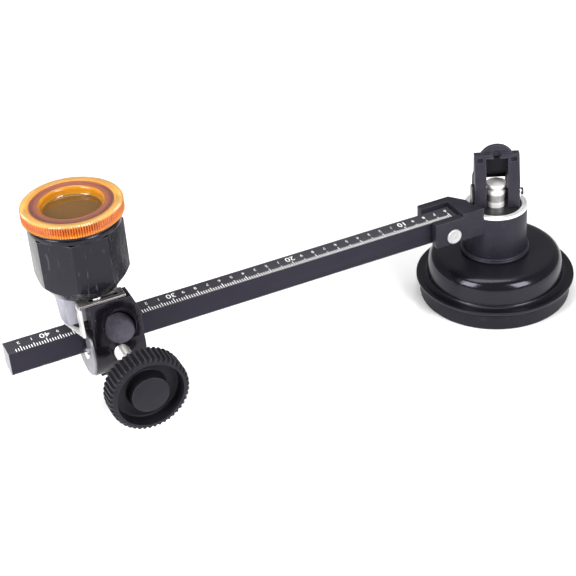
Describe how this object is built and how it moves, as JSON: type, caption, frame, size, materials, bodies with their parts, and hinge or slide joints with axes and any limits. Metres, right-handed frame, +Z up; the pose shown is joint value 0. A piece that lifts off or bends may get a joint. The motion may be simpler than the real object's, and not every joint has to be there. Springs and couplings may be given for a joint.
{
  "type": "glass circle cutter",
  "caption": "Compass-type glass circle cutter: suction-cup pivot with cam lever, graduated beam in a swivelling fork, sliding head with turret wheels, clamp knob and amber-capped handle.",
  "frame": {"origin": "centre of the suction cup's underside", "axes": "+Z up; the beam runs out along -X to the cutter head; +Y is the side away from the clamp knob"},
  "size_m": [0.2419, 0.0765, 0.0966],
  "materials": {
    "black_rubber": "satin",
    "gloss_black": "glossy",
    "grey_alloy": "satin",
    "satin_black": "satin",
    "bright_chrome": "polished",
    "dark_steel": "satin",
    "plain_steel": "brushed",
    "black_anodised": "satin",
    "black_enamel": "semi-gloss",
    "brass": "machined",
    "amber_clear": "clear tinted",
    "carbide": "ground"
  },
  "bodies": {
    "base": {"suction_cup": "black_rubber", "base_cover": "gloss_black", "pivot_post": "grey_alloy", "lower_collar": "satin_black", "chrome_ring": "bright_chrome", "cam_disc": "dark_steel"},
    "pull_rod": {"pull_stem": "plain_steel", "stem_foot": "plain_steel"},
    "lever": {"cam_lever": "satin_black", "lever_pin": "plain_steel", "pin_clip": "bright_chrome"},
    "swivel": {"swivel_fork": "satin_black", "fork_pin": "plain_steel"},
    "beam": {"beam_bar": "black_anodised"},
    "head": {"head_barrel": "black_enamel", "end_plate": "grey_alloy", "end_screw": "bright_chrome", "barrel_plug": "black_enamel", "neck_bush": "grey_alloy", "handle_body": "gloss_black", "handle_collar": "gloss_black", "plate_screw": "bright_chrome", "turret_leg": "black_enamel", "leg_screws": "plain_steel", "turret_screw": "plain_steel"},
    "pad": {"clamp_pad": "brass"},
    "knob": {"thumb_knob": "satin_black", "knob_stud": "plain_steel"},
    "gasket": {"cap_gasket": "black_rubber"},
    "cap": {"cap_lid": "amber_clear"},
    "pointer": {"pointer_plate": "bright_chrome"},
    "turret": {"turret_disc": "brass", "wheel_axles": "plain_steel"},
    "wheel_1": {"cutting_wheel_1": "carbide"},
    "wheel_2": {"cutting_wheel_2": "carbide"},
    "wheel_3": {"cutting_wheel_3": "carbide"},
    "wheel_4": {"cutting_wheel_4": "carbide"},
    "wheel_5": {"cutting_wheel_5": "carbide"},
    "wheel_6": {"cutting_wheel_6": "carbide"}
  },
  "joints": [
    {"name": "rod_lift", "type": "slide", "parent": "base", "child": "pull_rod", "axis": [0, 0, 1], "range_m": [0, 0.0025]},
    {"name": "lever_turn", "type": "hinge", "parent": "pull_rod", "child": "lever", "pos_m": [0, 0, 0.047], "axis": [-0.9063, 0.4226, 0], "range_deg": [0, 90]},
    {"name": "fork_swivel", "type": "hinge", "parent": "base", "child": "swivel", "pos_m": [0, 0, 0.032], "axis": [0, 0, 1], "continuous": true},
    {"name": "beam_tilt", "type": "hinge", "parent": "swivel", "child": "beam", "pos_m": [-0.0247, 0, 0.038], "axis": [0, 1, 0], "range_deg": [-2, 4]},
    {"name": "head_slide", "type": "slide", "parent": "beam", "child": "head", "axis": [-1, 0, 0], "range_m": [-0.122, 0.034]},
    {"name": "pad_press", "type": "slide", "parent": "head", "child": "pad", "axis": [0, -1, 0], "range_m": [0, 0.001]},
    {"name": "knob_turn", "type": "hinge", "parent": "pad", "child": "knob", "pos_m": [-0.1694, -0.025, 0.0372], "axis": [0, -1, 0], "range_deg": [0, 360]},
    {"name": "gasket_lift", "type": "slide", "parent": "head", "child": "gasket", "axis": [0, 0, 1], "range_m": [0, 0.00225]},
    {"name": "cap_turn", "type": "hinge", "parent": "gasket", "child": "cap", "pos_m": [-0.1757, 0, 0.092], "axis": [0, 0, 1], "range_deg": [0, 540]},
    {"name": "pointer_set", "type": "slide", "parent": "head", "child": "pointer", "axis": [-1, 0, 0], "range_m": [-0.002, 0.002]},
    {"name": "turret_index", "type": "hinge", "parent": "head", "child": "turret", "pos_m": [-0.1659, 0, 0.008], "axis": [1, 0, 0], "continuous": true},
    {"name": "wheel_1_roll", "type": "hinge", "parent": "turret", "child": "wheel_1", "pos_m": [-0.1659, 0, 0.0026], "axis": [1, 0, 0], "continuous": true},
    {"name": "wheel_2_roll", "type": "hinge", "parent": "turret", "child": "wheel_2", "pos_m": [-0.1659, 0.00468, 0.0053], "axis": [1, 0, 0], "continuous": true},
    {"name": "wheel_3_roll", "type": "hinge", "parent": "turret", "child": "wheel_3", "pos_m": [-0.1659, 0.00468, 0.0107], "axis": [1, 0, 0], "continuous": true},
    {"name": "wheel_4_roll", "type": "hinge", "parent": "turret", "child": "wheel_4", "pos_m": [-0.1659, 0, 0.0134], "axis": [1, 0, 0], "continuous": true},
    {"name": "wheel_5_roll", "type": "hinge", "parent": "turret", "child": "wheel_5", "pos_m": [-0.1659, -0.00468, 0.0107], "axis": [1, 0, 0], "continuous": true},
    {"name": "wheel_6_roll", "type": "hinge", "parent": "turret", "child": "wheel_6", "pos_m": [-0.1659, -0.00468, 0.0053], "axis": [1, 0, 0], "continuous": true}
  ],
  "couplings": [
    {"joint": "rod_lift", "follows": "lever_turn", "m_per_rad": 0.0015915},
    {"joint": "pad_press", "follows": "knob_turn", "m_per_rad": 0.00015915},
    {"joint": "gasket_lift", "follows": "cap_turn", "m_per_rad": 0.00023873}
  ]
}
